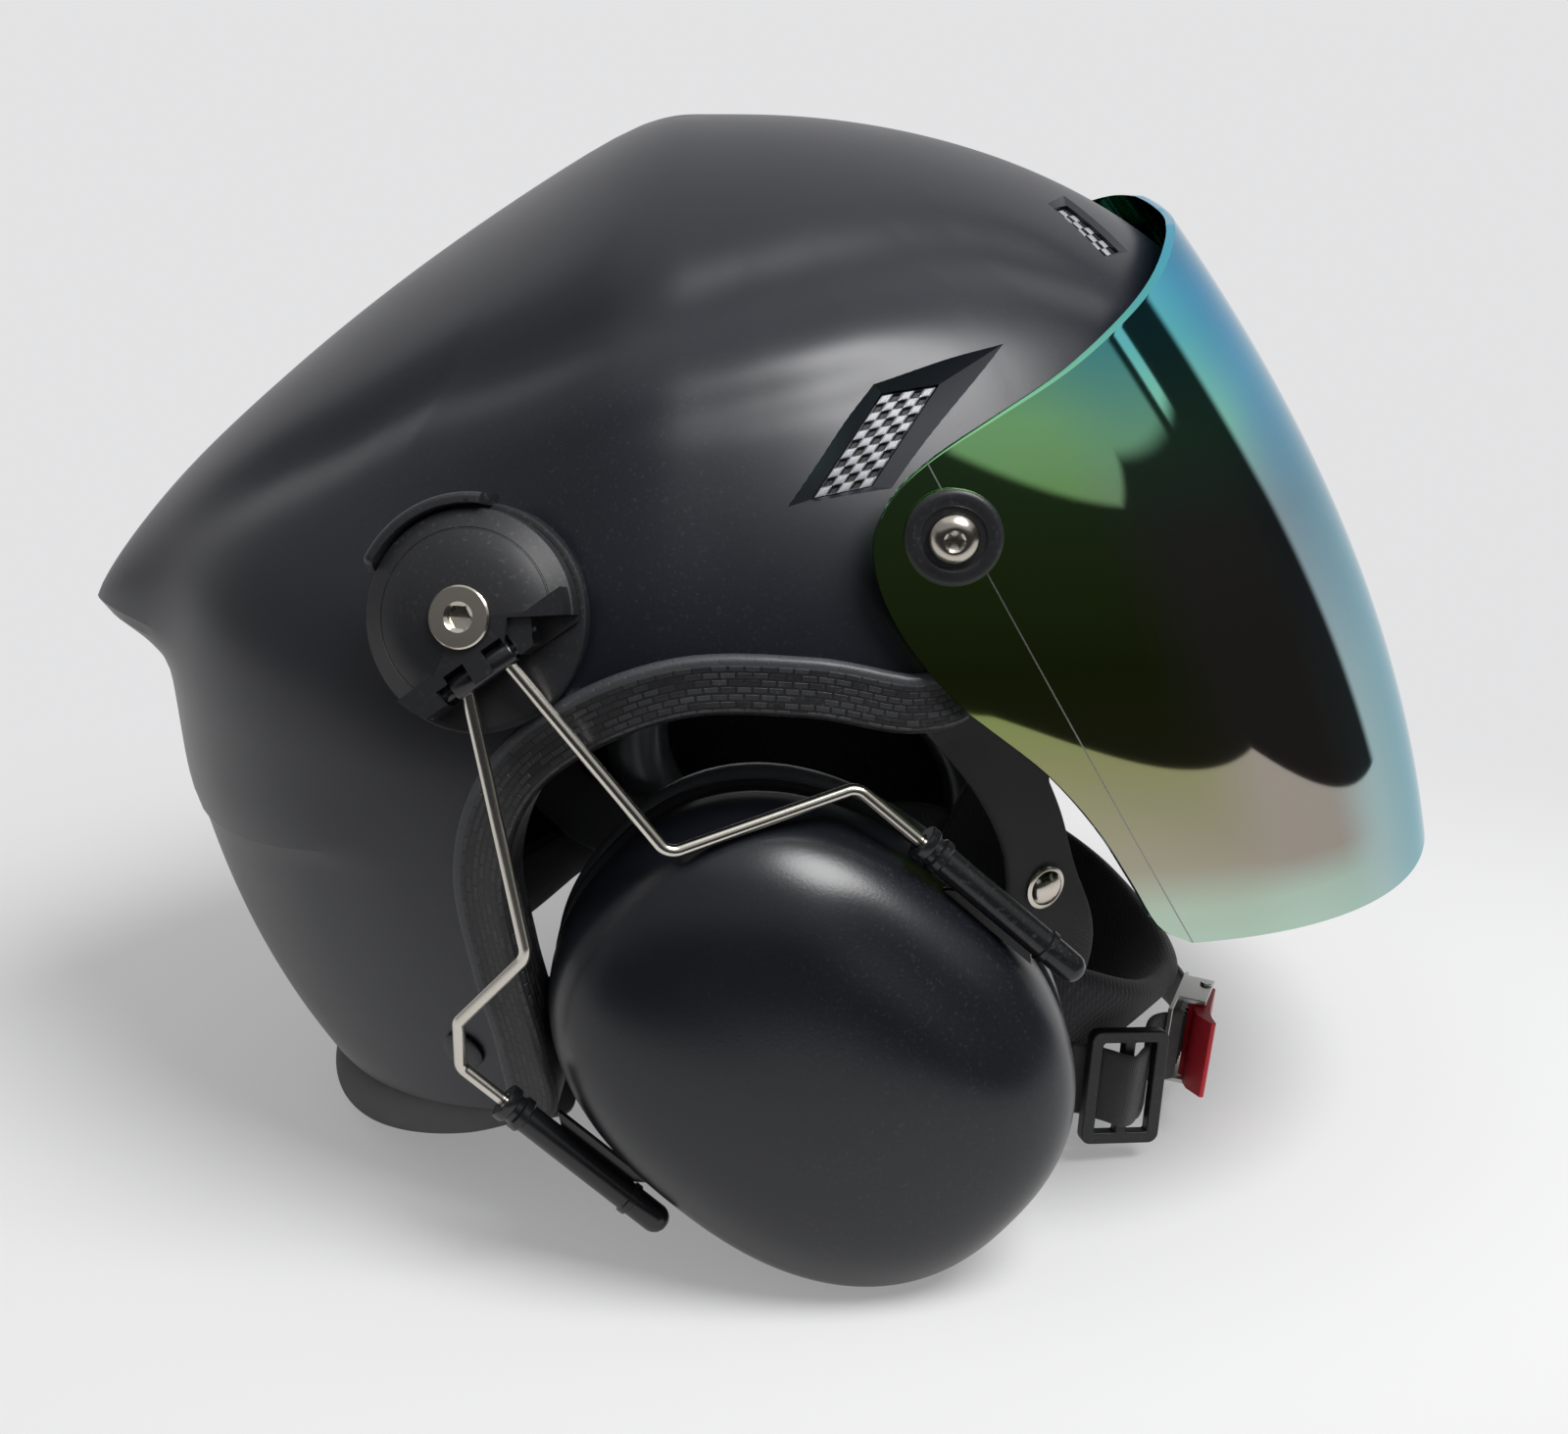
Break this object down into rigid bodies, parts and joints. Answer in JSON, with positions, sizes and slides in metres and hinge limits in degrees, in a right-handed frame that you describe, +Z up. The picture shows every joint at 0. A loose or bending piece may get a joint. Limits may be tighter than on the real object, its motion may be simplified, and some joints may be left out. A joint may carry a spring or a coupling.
{
  "type": "paramotor helmet",
  "caption": "Open-face flying helmet with a mirrored drop visor, hinged ear cups on sprung wire arms and a quick release chin strap.",
  "frame": {"origin": "on the ground under the middle of the helmet's box", "axes": "+X to the wearer's front, +Y to the wearer's left, +Z up, with the helmet lying on its nape roll and its two ear cups"},
  "size_m": [0.3284, 0.2654, 0.2452],
  "materials": {
    "shell_paint": "satin black lacquer",
    "foam": "black impact foam",
    "lining_cloth": "brushed cloth",
    "roll_cloth": "padded cloth",
    "edge_rubber": "matt, ribbed on the top edge",
    "vent_mesh": "woven mesh",
    "black_plastic": "fine moulded grain",
    "bright_steel": "polished",
    "spring_wire": "polished wire",
    "cup_plastic": "semi-gloss moulded",
    "cushion_leather": "soft leatherette",
    "mirror_visor": "mirrored polycarbonate",
    "webbing": "woven strap",
    "band_cloth": "padded knit",
    "buckle_steel": "stamped and polished",
    "lever_red": "moulded"
  },
  "bodies": {
    "visor": {"visor": "mirror_visor", "visor_washers": "black_plastic"},
    "release_lever": {"release_lever": "lever_red"},
    "mount_r": {"mount_cap_r": "black_plastic"},
    "arm_r": {"hinge_bar_r": "black_plastic", "arm_wire_r": "spring_wire"},
    "cup_r": {"guide_sleeves_r": "black_plastic", "cup_shell_r": "cup_plastic", "cup_foam_r": "foam", "cushion_plate_r": "black_plastic", "ear_cushion_r": "cushion_leather"},
    "mount_l": {"mount_cap_l": "black_plastic"},
    "arm_l": {"hinge_bar_l": "black_plastic", "arm_wire_l": "spring_wire"},
    "cup_l": {"guide_sleeves_l": "black_plastic", "cup_shell_l": "cup_plastic", "cup_foam_l": "foam", "cushion_plate_l": "black_plastic", "ear_cushion_l": "cushion_leather"},
    "helmet": {"shell": "shell_paint", "liner": "foam", "comfort_lining": "lining_cloth", "nape_roll": "roll_cloth", "ear_trim_r": "edge_rubber", "ear_trim_l": "edge_rubber", "brow_trim": "edge_rubber", "side_vent_insert_r": "vent_mesh", "side_vent_insert_l": "vent_mesh", "brow_vent_inserts": "vent_mesh", "shell_rivets": "black_plastic", "mount_base_r": "black_plastic", "mount_base_l": "black_plastic", "mount_screw_r": "bright_steel", "mount_screw_l": "bright_steel", "visor_spacers": "black_plastic", "visor_screws": "bright_steel", "front_strap_r": "webbing", "front_strap_l": "webbing", "rear_strap_r": "webbing", "rear_strap_l": "webbing", "strap_snaps": "bright_steel", "chin_band": "band_cloth", "strap_slider": "black_plastic", "buckle_strap": "webbing", "buckle_body": "buckle_steel", "buckle_ladder": "black_plastic", "lever_pin": "buckle_steel", "lever_spring": "buckle_steel"}
  },
  "joints": [
    {"name": "visor_hinge", "type": "hinge", "parent": "helmet", "child": "visor", "pos_m": [0.04019, 0, 0.1732], "axis": [0, -1, 0], "range_deg": [0, 60]},
    {"name": "mount_swivel_r", "type": "hinge", "parent": "helmet", "child": "mount_r", "pos_m": [-0.05613, -0.10659, 0.15317], "axis": [-0.224, -0.9345, 0.2766], "range_deg": [0, 6]},
    {"name": "arm_flip_r", "type": "hinge", "parent": "mount_r", "child": "arm_r", "pos_m": [-0.05431, -0.11881, 0.14573], "axis": [-0.8117, 0.0218, -0.5837], "range_deg": [0, 75]},
    {"name": "cup_slide_r", "type": "slide", "parent": "arm_r", "child": "cup_r", "axis": [0.749, 0, -0.6626], "range_m": [0, 0.012]},
    {"name": "mount_swivel_l", "type": "hinge", "parent": "helmet", "child": "mount_l", "pos_m": [-0.05613, 0.10659, 0.15317], "axis": [0.224, -0.9345, -0.2766], "range_deg": [0, 6]},
    {"name": "arm_flip_l", "type": "hinge", "parent": "mount_l", "child": "arm_l", "pos_m": [-0.05431, 0.11881, 0.14573], "axis": [0.8117, 0.0218, 0.5837], "range_deg": [0, 75]},
    {"name": "cup_slide_l", "type": "slide", "parent": "arm_l", "child": "cup_l", "axis": [0.749, 0, -0.6626], "range_m": [0, 0.012]},
    {"name": "lever_hinge", "type": "hinge", "parent": "helmet", "child": "release_lever", "pos_m": [0.1115, -0.02075, 0.0216], "axis": [0.1081, 0.0036, 0.9941], "range_deg": [0, 25], "stiffness_Nm_per_rad": 0.05, "springref_deg": -34.38}
  ]
}
